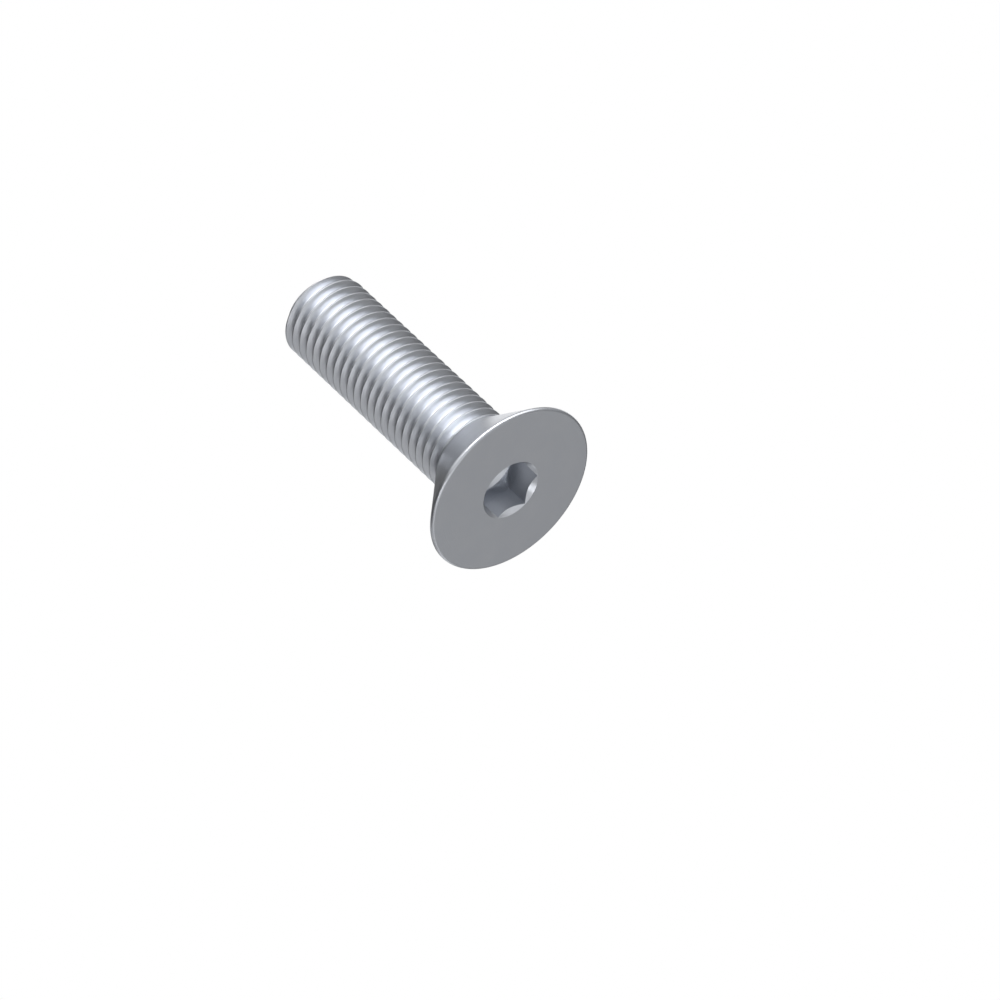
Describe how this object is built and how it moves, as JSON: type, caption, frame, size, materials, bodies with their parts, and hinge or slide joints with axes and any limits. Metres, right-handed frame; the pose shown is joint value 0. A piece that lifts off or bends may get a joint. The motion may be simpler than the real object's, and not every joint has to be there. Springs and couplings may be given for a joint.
{
  "type": "countersunk bolt",
  "caption": "Countersunk bolt with a flat conical head, a hexagon key socket and a fine-threaded shank, chamfered at the tip.",
  "frame": {"origin": "centre of the flat head face, on the bolt's axis; the bolt stands on this face", "axes": "+Z along the shank from the head to the tip; two corners of the socket's hexagon lie on the Y axis and two of its flats lie across the X axis"},
  "size_m": [0.02, 0.02, 0.035],
  "materials": {
    "zinc_plated_steel": "satin, bright zinc plating over steel"
  },
  "bodies": {
    "root": {"countersunk_bolt": "zinc_plated_steel"}
  },
  "joints": []
}
